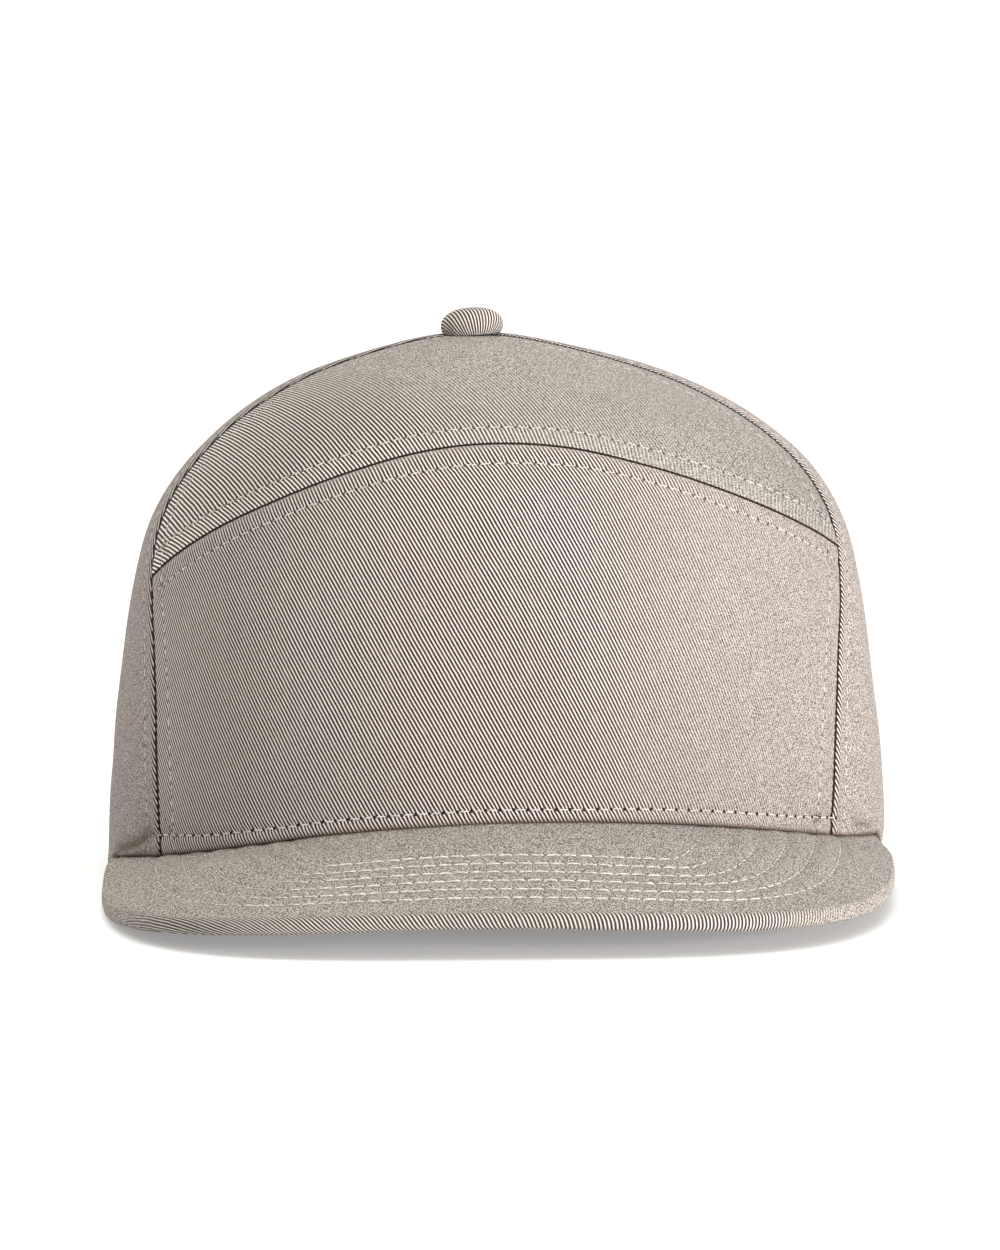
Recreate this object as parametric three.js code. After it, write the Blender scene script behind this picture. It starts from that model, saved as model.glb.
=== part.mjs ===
import * as THREE from 'three';

// Flat bill cap: a high stiff crown sewn from twill panels, a flat bill and a cloth-covered button.
// Millimetres, +Z up, the bill points to -Y. The crown's centre line is x = 0, y = 0 in the group's own
// frame, and the rim behind the bill rests on z = 0. Left and right are the wearer's, so left is +X.

// cloth, board and the space between neighbouring pieces
const gap = 0.3;
const billSeat = 0.45;
const frontWall = 2.0;
const sideWall = 1.5;
const billBoard = 2.5;
const underCover = 1.0;

// the crown's levels from the rim to the top, each with half its width and its reach both ways
const crownLevels = [
  { height: 0, halfWidth: 94.7, frontReach: 98, backReach: 98 },
  { height: 25, halfWidth: 93.9, frontReach: 96.6, backReach: 98 },
  { height: 50, halfWidth: 91, frontReach: 94, backReach: 95.3 },
  { height: 70, halfWidth: 88, frontReach: 90.8, backReach: 90 },
  { height: 84, halfWidth: 84.2, frontReach: 87.3, backReach: 83.7 },
  { height: 95, halfWidth: 77.8, frontReach: 83, backReach: 75.8 },
  { height: 104, halfWidth: 69, frontReach: 77, backReach: 66 },
  { height: 112, halfWidth: 58.1, frontReach: 68, backReach: 54.5 },
  { height: 119, halfWidth: 44.4, frontReach: 54.5, backReach: 41 },
  { height: 124.5, halfWidth: 28, frontReach: 37, backReach: 26.5 },
  { height: 128, halfWidth: 12.2, frontReach: 18.5, backReach: 12.5 },
  { height: 129.2, halfWidth: 0, frontReach: 0, backReach: 0 },
];
const planSquareness = 2.1;
const apexLean = { from: 95, over: 34, by: -5.2 };
const rimLean = { below: 60, by: -0.45 };
const topHoleLevel = 10.72;

// azimuths in degrees from the front, at each height, of the seams beside the front panels
const frontSeam = [
  { height: 0, azimuth: 55.5 },
  { height: 30, azimuth: 59 },
  { height: 54, azimuth: 63.8 },
  { height: 70, azimuth: 69 },
  { height: 82, azimuth: 73.5 },
  { height: 95, azimuth: 77.2 },
  { height: 110, azimuth: 80 },
  { height: 129.2, azimuth: 82 },
];
const backSeam = [
  { height: 0, azimuth: 120 },
  { height: 129.2, azimuth: 131 },
];

// the arched seam across the front, by its share of the way from the middle to the side seam
const archSeam = [
  { across: -0.2, height: 106.8 },
  { across: 0, height: 108.6 },
  { across: 0.2, height: 106.8 },
  { across: 0.4, height: 101.3 },
  { across: 0.6, height: 93.3 },
  { across: 0.8, height: 84.6 },
  { across: 1, height: 76.5 },
];
const archRise = 2.8;

// the bill: its outline is a superellipse, and each line across it is a parabola that hangs at its ends
const billOutline = { halfWidth: 94.2, middleX: 0.3, middleY: -16.3, reach: 147.7, squareness: 3.85 };
const billCorner = { azimuth: 73.8, y: -28.5, tuck: 2.4, tuckFrom: -52 };
const billHeight = { atCrown: 21.7, slope: 0.168, crownY: -97 };
const billDrop = [
  { y: -165, drop: 6.4 },
  { y: -97, drop: 16.5 },
  { y: -25, drop: 26.8 },
];
const billTwist = { lift: 1.6, fromY: -165, toY: -97 };
const billMargin = 3.0;
const coverSetback = 1.0;
const hem = { fallFrom: 76, over: 8.8 };

const button = { radius: 7.6, height: 6.2, baseRadius: 6.2, belly: 0.32, roundness: 0.75, tilt: 3, lift: 0.12 };

const faces = {
  front: { across: 26, up: 11 },
  upperFront: { across: 26, up: 8 },
  gore: { across: 12 },
  side: [0, 0.11, 0.215, 0.318, 0.348, 0.378, 0.412, 0.452, 0.535, 0.65, 0.766, 0.883, 1],
  bill: { across: 44, out: 7 },
  button: { round: 24, quarter: 6 },
};

const degree = Math.PI / 180;
const clamp = (value) => Math.min(Math.max(value, 0), 1);
const lerp = THREE.MathUtils.lerp;

function easeBetween(value, start, length) {
  const share = clamp((value - start) / length);
  return share * share * (3 - 2 * share);
}

// a Catmull-Rom curve through one column of a table, read at a row number with its fraction
function curveThrough(rows, column, place) {
  const last = rows.length - 1;
  const row = Math.min(Math.max(Math.floor(place), 0), last - 1);
  const share = place - row;
  const here = rows[row][column];
  const next = rows[row + 1][column];
  const before = row > 0 ? rows[row - 1][column] : 2 * here - next;
  const after = row + 2 <= last ? rows[row + 2][column] : 2 * next - here;
  const bend = 2 * before - 5 * here + 4 * next - after;
  const twist = 3 * here - before - 3 * next + after;
  return here + 0.5 * share * (next - before + share * (bend + share * twist));
}

// the same curve read by another column, whose values rise from row to row
function curveBy(rows, key, column, value) {
  let low = 0;
  let high = rows.length - 1;
  for (let step = 0; step < 30; step += 1) {
    const middle = (low + high) / 2;
    if (curveThrough(rows, key, middle) < value) low = middle;
    else high = middle;
  }
  return column ? curveThrough(rows, column, low) : low;
}

const levelAt = (height) => curveBy(crownLevels, 'height', null, height);

// a signed power, for the squared-off ellipses of the crown and the bill
const soften = (value, squareness) => Math.sign(value) * Math.abs(value) ** (2 / squareness);

// a point of the crown's outer face: azimuth in degrees from the front, positive to +X
function crownSurface(azimuth, level) {
  const sine = Math.sin(azimuth * degree);
  const cosine = Math.cos(azimuth * degree);
  const height = curveThrough(crownLevels, 'height', level);
  const reach = curveThrough(crownLevels, cosine > 0 ? 'frontReach' : 'backReach', level);
  const halfWidth = curveThrough(crownLevels, 'halfWidth', level);
  const lean =
    apexLean.by * clamp((height - apexLean.from) / apexLean.over) ** 2 + rimLean.by * clamp(1 - height / rimLean.below);
  return new THREE.Vector3(
    halfWidth * soften(sine, planSquareness) + lean,
    -reach * soften(cosine, planSquareness),
    height,
  );
}

// the same point moved inwards through the cloth, square to the face
function crownPoint(azimuth, level, depth) {
  const point = crownSurface(azimuth, level);
  if (depth === 0) return point;
  const step = 0.02;
  const around = crownSurface(azimuth + 1, level).sub(crownSurface(azimuth - 1, level));
  const upward = crownSurface(azimuth, level + step).sub(crownSurface(azimuth, level - step));
  const outward = around.cross(upward).normalize();
  return point.addScaledVector(outward, -depth);
}

// the height of the bill's top face over a place in plan
function billTop(x, y) {
  const drop = curveBy(billDrop, 'y', 'drop', y);
  const across = x / billOutline.halfWidth;
  const twist = billTwist.lift * across * clamp((y - billTwist.fromY) / (billTwist.toY - billTwist.fromY));
  return billHeight.atCrown + billHeight.slope * (y - billHeight.crownY) - drop * across * across + twist;
}

// the level where a panel ends: on the bill in front, and on the ground behind the bill's corners
function rimLevel(azimuth, depth) {
  const onBill = 1 - easeBetween(Math.abs(azimuth), hem.fallFrom, hem.over);
  let level = 0;
  for (let step = 0; step < 5; step += 1) {
    const point = crownPoint(azimuth, level, depth);
    const sink = curveThrough(crownLevels, 'height', level) - point.z;
    level = levelAt(onBill * (billTop(point.x, point.y) + billSeat) + sink);
  }
  return level;
}

// the level of the arched seam, for a share of the way to the side seam, negative to -X
function archLevel(across) {
  const height = curveBy(archSeam, 'across', 'height', Math.abs(across));
  return levelAt(height + archRise * across);
}

function seamAzimuth(seam, level) {
  return curveBy(seam, 'height', 'azimuth', curveThrough(crownLevels, 'height', level));
}

// half the space between two panels, as a turn in degrees at this level
function halfGapTurn(level) {
  const radius = curveThrough(crownLevels, 'halfWidth', level);
  return gap / 2 / Math.max(radius, 3) / degree;
}

// half the space between two panels, as a share of a level
const halfGapLevel = 0.014;

// a closed wall between two faces that are given as grids of points
function wall(countU, countV, pointAt) {
  const positions = [];
  const index = [];
  const columns = countU + 1;
  const rows = countV + 1;
  for (const side of [0, 1]) {
    for (let v = 0; v < rows; v += 1) {
      for (let u = 0; u < columns; u += 1) {
        positions.push(...pointAt(u / countU, v / countV, side).toArray());
      }
    }
  }
  const at = (u, v, side) => side * columns * rows + v * columns + u;
  const quad = (a, b, c, d) => index.push(a, b, c, a, c, d);
  for (let v = 0; v < countV; v += 1) {
    for (let u = 0; u < countU; u += 1) {
      quad(at(u, v, 0), at(u + 1, v, 0), at(u + 1, v + 1, 0), at(u, v + 1, 0));
      quad(at(u, v, 1), at(u, v + 1, 1), at(u + 1, v + 1, 1), at(u + 1, v, 1));
    }
  }
  for (let u = 0; u < countU; u += 1) {
    quad(at(u, 0, 1), at(u + 1, 0, 1), at(u + 1, 0, 0), at(u, 0, 0));
    quad(at(u, countV, 0), at(u + 1, countV, 0), at(u + 1, countV, 1), at(u, countV, 1));
  }
  for (let v = 0; v < countV; v += 1) {
    quad(at(0, v, 0), at(0, v + 1, 0), at(0, v + 1, 1), at(0, v, 1));
    quad(at(countU, v, 1), at(countU, v + 1, 1), at(countU, v + 1, 0), at(countU, v, 0));
  }
  const geometry = new THREE.BufferGeometry();
  geometry.setAttribute('position', new THREE.Float32BufferAttribute(positions, 3));
  geometry.setIndex(index);
  geometry.computeVertexNormals();
  return geometry;
}

function twill(red, green, blue) {
  return new THREE.MeshStandardMaterial({
    color: new THREE.Color().setRGB(red, green, blue, THREE.SRGBColorSpace),
    roughness: 0.9,
    metalness: 0,
  });
}

function piece(name, geometry, material) {
  const mesh = new THREE.Mesh(geometry, material);
  mesh.name = name;
  return mesh;
}

// a crown panel between two seams, whose rows climb as levelOf says
function crownPanel({ fromSeam, toSeam, levelOf, thickness, across, up, shares }) {
  return wall(across, up, (step, v, side) => {
    const u = shares ? shares[Math.round(step * across)] : step;
    const depth = side * thickness;
    let azimuth = lerp(fromSeam(0), toSeam(0), u);
    let level = 0;
    for (let turn = 0; turn < 4; turn += 1) {
      level = levelOf(u, v, azimuth, depth);
      azimuth = lerp(fromSeam(level) + halfGapTurn(level), toSeam(level) - halfGapTurn(level), u);
    }
    return crownPoint(azimuth, level, depth);
  });
}

const seamLeft = (level) => seamAzimuth(frontSeam, level);
const seamRight = (level) => -seamAzimuth(frontSeam, level);
const backSeamLeft = (level) => seamAzimuth(backSeam, level);
const backSeamRight = (level) => -seamAzimuth(backSeam, level);

function frontPanel() {
  return crownPanel({
    fromSeam: seamRight,
    toSeam: seamLeft,
    levelOf: (u, v, azimuth, depth) => lerp(rimLevel(azimuth, depth), archLevel(2 * u - 1) - halfGapLevel, v),
    thickness: frontWall,
    across: faces.front.across,
    up: faces.front.up,
  });
}

function upperFrontPanel() {
  return crownPanel({
    fromSeam: seamRight,
    toSeam: seamLeft,
    levelOf: (u, v) => lerp(archLevel(2 * u - 1) + halfGapLevel, topHoleLevel, v),
    thickness: frontWall,
    across: faces.upperFront.across,
    up: faces.upperFront.up,
  });
}

// a gore's rows meet those of the two front panels, below and above the arched seam's end, and a side gore
// has its columns closer together where its hem falls behind the bill's corner
function gore(fromSeam, toSeam, side, shares) {
  const up = faces.front.up + faces.upperFront.up;
  const archEnd = archLevel(side);
  return crownPanel({
    fromSeam,
    toSeam,
    levelOf: (u, v, azimuth, depth) => {
      const row = v * up;
      if (row <= faces.front.up) return lerp(rimLevel(azimuth, depth), archEnd, row / faces.front.up);
      return lerp(archEnd, topHoleLevel, (row - faces.front.up) / faces.upperFront.up);
    },
    thickness: sideWall,
    across: faces.gore.across,
    up,
    shares,
  });
}

// the bill's outer edge in plan, for a share of the way round from the right corner to the left one
function billEdge(share, setback) {
  const end = Math.acos(((billOutline.middleY - billCorner.y) / billOutline.reach) ** (billOutline.squareness / 2));
  const turn = lerp(-end, end, share);
  const halfWidth = billOutline.halfWidth - setback;
  const reach = billOutline.reach - setback;
  const x = halfWidth * soften(Math.sin(turn), billOutline.squareness);
  const y = billOutline.middleY - reach * soften(Math.cos(turn), billOutline.squareness);
  const tuck = billCorner.tuck * easeBetween(y, billCorner.tuckFrom, billCorner.y - billCorner.tuckFrom);
  return { x: billOutline.middleX + x - Math.sign(x) * tuck, y };
}

// the bill's inner edge runs under the crown's wall
function billInner(share) {
  const azimuth = lerp(-billCorner.azimuth, billCorner.azimuth, share);
  return crownPoint(azimuth, rimLevel(azimuth, 0), billMargin);
}

// a layer of the bill between two depths below its top face
function billLayer(upperDepth, lowerDepth, setback) {
  return wall(faces.bill.across, faces.bill.out, (u, v, side) => {
    const inner = billInner(u);
    const outer = billEdge(u, setback);
    const x = lerp(outer.x, inner.x, v);
    const y = lerp(outer.y, inner.y, v);
    return new THREE.Vector3(x, y, billTop(x, y) - (side ? lowerDepth : upperDepth));
  });
}

function buttonShape() {
  const points = [new THREE.Vector2(0, 0), new THREE.Vector2(button.baseRadius, 0)];
  const belly = button.height * button.belly;
  const crownHeight = button.height - belly;
  for (let step = 0; step <= faces.button.quarter; step += 1) {
    const turn = (step / faces.button.quarter) * Math.PI * 0.5;
    const radius = button.radius * Math.cos(turn) ** button.roundness;
    points.push(new THREE.Vector2(step === faces.button.quarter ? 0 : radius, belly + crownHeight * Math.sin(turn)));
  }
  return new THREE.LatheGeometry(points, faces.button.round).rotateX(Math.PI / 2);
}

const sideMirrored = faces.side.map((share) => 1 - share).reverse();
const cap = new THREE.Group();

cap.add(piece('front_panel', frontPanel(), twill(0.66, 0.62, 0.57)));
cap.add(piece('upper_front_panel', upperFrontPanel(), twill(0.68, 0.64, 0.59)));
cap.add(piece('side_panel_left', gore(seamLeft, backSeamLeft, 1, faces.side), twill(0.7, 0.66, 0.61)));
cap.add(piece('side_panel_right', gore(backSeamRight, seamRight, -1, sideMirrored), twill(0.7, 0.66, 0.61)));
cap.add(piece('back_panel_left', gore(backSeamLeft, () => 180, 1), twill(0.68, 0.64, 0.59)));
cap.add(piece('back_panel_right', gore(() => -180, backSeamRight, -1), twill(0.68, 0.64, 0.59)));
cap.add(piece('bill_top', billLayer(0, billBoard, 0), twill(0.67, 0.63, 0.58)));
const coverDepth = billBoard + gap;
cap.add(piece('bill_underside', billLayer(coverDepth, coverDepth + underCover, coverSetback), twill(0.6, 0.56, 0.51)));

const topButton = piece('top_button', buttonShape(), twill(0.7, 0.66, 0.61));
const apex = crownSurface(0, crownLevels.length - 1);
topButton.position.set(apex.x, apex.y, apex.z + button.lift);
topButton.rotation.y = -button.tilt * degree;
cap.add(topButton);

// the whole cap is centred over its own box
const frontEdge = billOutline.middleY - billOutline.reach;
const backEdge = crownLevels[0].backReach;
cap.position.y = -(frontEdge + backEdge) / 2;

export default cap;
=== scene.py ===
import math

import bmesh
import bpy
import numpy as np
from mathutils import Matrix, Vector
from mathutils.bvhtree import BVHTree


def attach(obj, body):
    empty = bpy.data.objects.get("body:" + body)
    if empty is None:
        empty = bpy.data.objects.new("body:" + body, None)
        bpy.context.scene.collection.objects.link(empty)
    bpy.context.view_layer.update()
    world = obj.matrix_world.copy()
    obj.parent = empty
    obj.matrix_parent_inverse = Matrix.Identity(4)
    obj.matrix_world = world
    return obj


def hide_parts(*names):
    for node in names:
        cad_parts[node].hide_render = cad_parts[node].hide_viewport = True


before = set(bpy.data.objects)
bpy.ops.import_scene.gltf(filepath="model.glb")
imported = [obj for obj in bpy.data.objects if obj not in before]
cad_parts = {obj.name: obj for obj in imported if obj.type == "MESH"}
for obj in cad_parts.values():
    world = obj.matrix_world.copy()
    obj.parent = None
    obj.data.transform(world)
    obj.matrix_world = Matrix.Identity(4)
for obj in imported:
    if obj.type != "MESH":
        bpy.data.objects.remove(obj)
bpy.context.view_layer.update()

mm = 0.001
print('frame loaded')


# the crown's levels from the rim to the top, in millimetres, one column for each level
crownLevels = {
    'height': [0, 25, 50, 70, 84, 95, 104, 112, 119, 124.5, 128, 129.2],
    'halfWidth': [94.7, 93.9, 91.0, 88.0, 84.2, 77.8, 69.0, 58.1, 44.4, 28, 12.2, 0],
    'frontReach': [98, 96.6, 94, 90.8, 87.3, 83, 77, 68, 54.5, 37, 18.5, 0],
    'backReach': [98, 98, 95.3, 90, 83.7, 75.8, 66, 54.5, 41, 26.5, 12.5, 0],
}
crown = {
    'centreY': 33.0,  # behind the middle of the whole cap
    'squareness': 2.1,
    'leanFrom': 95.0,
    'leanOver': 34.0,
    'lean': -5.2,
    'rimLean': -0.45,
    'rimLeanBelow': 60.0,
    'topLevel': 10.72,
    'frontWall': 2.0,
    'sideWall': 1.5,
    'halfGap': 0.12,
    'billSeat': 0.2,
    'hemFallFrom': 76.0,
    'hemFallOver': 8.8,
}
# azimuths of the seams in degrees from the front, by height
frontSeam = {
    'height': [0, 30, 54, 70, 82, 95, 110, 129.2],
    'azimuth': [55.5, 59, 63.8, 69, 73.5, 77.2, 80, 82],
}
backSeam = {'height': [0, 129.2], 'azimuth': [120, 131]}
# the arched seam, by its share of the way from the middle to the side seam
archSeam = {
    'across': [-0.2, 0, 0.2, 0.4, 0.6, 0.8, 1],
    'height': [106.8, 108.6, 106.8, 101.3, 93.3, 84.6, 76.5],
    'rise': 2.8,
}
bill = {
    'halfWidth': 94.2,
    'middleX': 0.3,
    'middleY': -16.3,
    'reach': 147.7,
    'squareness': 3.85,
    'cornerAzimuth': 73.8,
    'cornerY': -28.5,
    'tuck': 2.4,
    'tuckFrom': -52.0,
    'atCrown': 21.7,
    'slope': 0.168,
    'crownY': -97.0,
    'twist': 1.6,
    'twistFrom': -165.0,
    'twistOver': 68.0,
    'margin': 3.0,
}
billDrop = {'y': [-165, -97, -25], 'drop': [6.4, 16.5, 26.8]}
# the cloth sags a little where the bill meets the crown, mostly towards the corner at -X
billSag = {
    'x': [-95, -92, -87, -82, -72, -67, -62, -53, -43, -28, -14, 0, 24, 40, 54, 74, 83, 88, 95],
    'sag': [0.6, 1, 1.3, 1.7, 1.95, 1.95, 1.75, 1.4, 0.75, 0.25, 0, -0.3, -0.3, 0, 0.4, 1, 1.2, 0.9, 0.6],
    'over': 18.0,
}

tableSteps = 4000
normalProbe = 1.0, 0.02  # degrees and levels to the places that a slope is measured at
settleProbe = 0.1, 0.01
settleTries = 8
rimTries = 5
pointsAtOnce = 3000
pathStep = 1.1
halfStep = 0.6
pullWidth = 0.8


def ease(value, start, length):
    # from 0 to 1 without a corner, from start on
    share = np.clip((value - start) / length, 0, 1)
    return share * share * (3 - 2 * share)


def unit(vectors):
    return vectors / np.linalg.norm(vectors, axis=-1, keepdims=True)


def curveThrough(values, place):
    # a smooth curve through a column, read at a row number with its fraction
    values = np.asarray(values, float)
    padded = np.concatenate([[2 * values[0] - values[1]], values, [2 * values[-1] - values[-2]]])
    row = np.clip(np.floor(place).astype(int), 0, len(values) - 2)
    share = place - row
    before, here, after, beyond = (padded[row + k] for k in range(4))
    bend = 2 * before - 5 * here + 4 * after - beyond
    twist = 3 * here - before - 3 * after + beyond
    return here + 0.5 * share * (after - before + share * (bend + share * twist))


def readBy(table, key, column, value):
    # one column of a table where another has this value, or without a column the row number there
    place = np.linspace(0, len(table[key]) - 1, tableSteps)
    keys = curveThrough(table[key], place)
    return np.interp(value, keys, curveThrough(table[column], place) if column else place)


def levelAt(height):
    return readBy(crownLevels, 'height', None, height)


def heightOf(level):
    return curveThrough(crownLevels['height'], level)


def soften(value, squareness):
    return np.sign(value) * np.abs(value) ** (2 / squareness)


def crownSurface(azimuth, level):
    # millimetres from the crown's centre line; azimuth 0 is the front and positive turns to +X
    azimuth, level = np.broadcast_arrays(np.asarray(azimuth, float), np.asarray(level, float))
    sine, cosine = np.sin(np.radians(azimuth)), np.cos(np.radians(azimuth))
    height = heightOf(level)
    front, back = (curveThrough(crownLevels[column], level) for column in ('frontReach', 'backReach'))
    reach = np.where(cosine > 0, front, back)
    halfWidth = curveThrough(crownLevels['halfWidth'], level)
    lean = crown['lean'] * np.clip((height - crown['leanFrom']) / crown['leanOver'], 0, 1) ** 2
    lean = lean + crown['rimLean'] * np.clip(1 - height / crown['rimLeanBelow'], 0, 1)
    x = halfWidth * soften(sine, crown['squareness']) + lean
    y = -reach * soften(cosine, crown['squareness'])
    return np.stack([x, y, height], -1)


def crownNormal(azimuth, level):
    turn, rise = normalProbe
    around = crownSurface(azimuth + turn, level) - crownSurface(azimuth - turn, level)
    upward = crownSurface(azimuth, level + rise) - crownSurface(azimuth, level - rise)
    return unit(np.cross(around, upward))


def crownPoint(azimuth, level, depth):
    return crownSurface(azimuth, level) - crownNormal(azimuth, level) * depth


def billTop(x, y):
    # the height of the bill's upper face
    drop = readBy(billDrop, 'y', 'drop', y)
    across = x / bill['halfWidth']
    twist = bill['twist'] * across * np.clip((y - bill['twistFrom']) / bill['twistOver'], 0, 1)
    flat = bill['atCrown'] + bill['slope'] * (y - bill['crownY']) - drop * across**2 + twist
    halfWidth, frontReach = crownLevels['halfWidth'][0], crownLevels['frontReach'][0]
    power = crown['squareness']
    outwards = (np.abs(x / halfWidth) ** power + np.abs(y / frontReach) ** power) ** (1 / power)
    near = 1 - ease((outwards - 1) * halfWidth, 0, billSag['over'])
    return flat - np.interp(x, billSag['x'], billSag['sag']) * near


def rimLevel(azimuth, depth=0.0):
    # the crown's lower edge lies on the bill, and falls to the floor behind it
    onBill = 1 - ease(np.abs(azimuth), crown['hemFallFrom'], crown['hemFallOver'])
    level = np.zeros_like(azimuth)
    for _ in range(rimTries):
        point = crownPoint(azimuth, level, depth)
        sink = heightOf(level) - point[..., 2]
        level = levelAt(onBill * (billTop(point[..., 0], point[..., 1]) + crown['billSeat']) + sink)
    return level


def archLevel(across):
    height = readBy(archSeam, 'across', 'height', np.abs(across))
    return levelAt(height + archSeam['rise'] * across)


def seamAzimuth(seam, level):
    return readBy(seam, 'height', 'azimuth', heightOf(level))


def seamLine(seam, sign):
    return lambda level: sign * seamAzimuth(seam, level)


def straightSeam(azimuth):
    return lambda level: azimuth + 0 * np.asarray(level)


def settle(aim, azimuth, level):
    # slides over the crown's face until it lies under each point aimed at
    turn, rise = settleProbe
    for _ in range(settleTries):
        here = crownSurface(azimuth, level)
        around = (crownSurface(azimuth + turn, level) - here) / turn
        upward = (crownSurface(azimuth, level + rise) - here) / rise
        miss = aim - here
        a, b, c = (around**2).sum(-1), (around * upward).sum(-1), (upward**2).sum(-1)
        p, q = (around * miss).sum(-1), (upward * miss).sum(-1)
        azimuth = azimuth + (c * p - b * q) / (a * c - b * b)
        level = level + (a * q - b * p) / (a * c - b * b)
    return azimuth, level


def runAlong(path):
    # how far along a path each of its points lies
    return np.concatenate([[0], np.cumsum(np.linalg.norm(np.diff(path, axis=0), axis=1))])


def placeOn(path, run, places):
    return np.stack([np.interp(places, run, path[:, k]) for k in range(path.shape[1])], -1)


def distanceTo(path, points):
    # how far each point lies from a path, and how far along the path its nearest place is
    flat = points.reshape(-1, points.shape[-1])
    starts, spans, run = path[:-1], np.diff(path, axis=0), runAlong(path)
    lengths = np.linalg.norm(spans, axis=1)
    away, along = np.empty(len(flat)), np.empty(len(flat))
    for first in range(0, len(flat), pointsAtOnce):
        some = slice(first, first + pointsAtOnce)
        apart = flat[some, None] - starts
        share = np.clip((apart * spans).sum(-1) / lengths**2, 0, 1)
        gap = np.linalg.norm(apart - share[..., None] * spans, axis=-1)
        best = gap.argmin(1)
        each = np.arange(len(best))
        away[some] = gap[each, best]
        along[some] = run[best] + share[each, best] * lengths[best]
    return away.reshape(points.shape[:-1]), along.reshape(points.shape[:-1])


def pathEvery(path, step):
    # the same path with even steps
    run = runAlong(path)
    count = max(int(round(run[-1] / step)), 2)
    return placeOn(path, run, np.linspace(0, run[-1], count + 1))


# rows of stitches on the crown: paths on its face, each with its pitch and how deep it pulls the cloth
allCrown = {'pitch': 3.3, 'aside': 1.0, 'endFade': 0.1}
stitchKinds = {
    'arch': {**allCrown, 'pull': 0.2, 'thread': 0.12, 'hole': 0.75, 'span': 0.8, 'rise': 0.35},
    'side': {**allCrown, 'pull': 0.12, 'thread': 0.1, 'hole': 0.5, 'span': 0.72, 'rise': 0.0},
    'rim': {**allCrown, 'pull': 0.35, 'thread': 0.16, 'hole': 1.0, 'span': 0.72, 'rise': 0.1},
    # a thread of the bill is thinner where its row turns back, and over endFade from the row's ends
    'bill': {
        'pitch': 3.7, 'aside': 0.6, 'endFade': 24.0,
        'pull': 0.1, 'thread': 0.2, 'hole': 0.25, 'span': 0.88, 'rise': 1.0,
    },
}
topstitch = {
    'beside': 6.3,
    'besideTop': 8.2,
    'widerFrom': 80.0,
    'widerOver': 16.0,
    'mostOfHalf': 0.4,
    'rimReach': 1.035,
    'rimLevel': 0.4,
    'frontTop': 10.6,
    'backTop': 10.05,
}
# how far above the bill the row along the rim lies
rimRow = {
    'x': [-85, -80, -70, -60, -50, 0, 20, 48, 70, 85],
    'above': [5.2, 4.9, 3.75, 3.45, 3.15, 3.1, 2.9, 3.45, 3.6, 4.4],
}
# how far the two rows lie from the arched seam
archRows = {
    'across': [-1, -0.5, 0, 0.4, 1],
    'above': [5.9, 6.0, 6.1, 6.3, 6.6],
    'below': [4.9, 5.1, 5.8, 4.6, 4.4],
}


def rowBeside(azimuth, level, offset):
    forward = np.gradient(crownSurface(azimuth, level), axis=0)
    side = unit(np.cross(crownNormal(azimuth, level), forward))
    aim = crownSurface(azimuth, level) + side * np.expand_dims(offset, -1)
    return crownSurface(*settle(aim, azimuth, level))


def upSeam(azimuthOf, top):
    start = rimLevel(azimuthOf(np.zeros(1)))[0]
    level = np.linspace(start, top, 160)
    return azimuthOf(level), level


def besideSeam(level):
    # near the top a row keeps to its own half of the narrowing panel
    wider = ease(heightOf(level), topstitch['widerFrom'], topstitch['widerOver'])
    offset = topstitch['beside'] + (topstitch['besideTop'] - topstitch['beside']) * wider
    return np.minimum(offset, topstitch['mostOfHalf'] * curveThrough(crownLevels['halfWidth'], level))


def crownRows():
    rows = {}

    def add(name, kind, path):
        rows[name] = {**stitchKinds[kind], 'path': pathEvery(path, pathStep)}

    def addBeside(name, seam, top, sign):
        azimuth, level = upSeam(seam, top)
        add(name, 'side', rowBeside(azimuth, level, besideSeam(level) * sign))

    for side, sign in (('Left', 1), ('Right', -1)):
        front, back = seamLine(frontSeam, sign), seamLine(backSeam, sign)
        addBeside('front' + side, front, topstitch['frontTop'], sign)
        addBeside('side' + side, front, topstitch['backTop'], -sign)
        addBeside('sideBack' + side, back, topstitch['backTop'], sign)
        addBeside('back' + side, back, topstitch['backTop'], -sign)
        addBeside('centre' + side, straightSeam(180.0 * sign), topstitch['backTop'], sign)
    across = np.linspace(-1, 1, 240)
    level = archLevel(across)
    azimuth = across * seamAzimuth(frontSeam, level)
    add('archAbove', 'arch', rowBeside(azimuth, level, readBy(archRows, 'across', 'above', across)))
    add('archBelow', 'arch', rowBeside(azimuth, level, -readBy(archRows, 'across', 'below', across)))
    low = topstitch['rimLevel']
    azimuth = np.linspace(-1, 1, 200) * seamAzimuth(frontSeam, low) * topstitch['rimReach']
    above = np.interp(crownSurface(azimuth, low)[..., 0], rimRow['x'], rimRow['above'])
    level = levelAt(heightOf(rimLevel(azimuth)) + above)
    add('rim', 'rim', crownSurface(azimuth, level))
    return rows


rows = crownRows()
# the pieces that each row is sewn into
fronts = ['frontPanel', 'upperFrontPanel']
rowPieces = {
    'frontLeft': fronts,
    'frontRight': fronts,
    'archBelow': ['frontPanel'],
    'archAbove': ['upperFrontPanel'],
    'rim': ['frontPanel', 'sidePanelLeft', 'sidePanelRight'],
}
for panel, rowStarts in (('sidePanel', ('side', 'sideBack')), ('backPanel', ('back', 'centre'))):
    for side in ('Left', 'Right'):
        rowPieces.update({start + side: [panel + side] for start in rowStarts})
print('stitch rows laid out:', len(rows))


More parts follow.
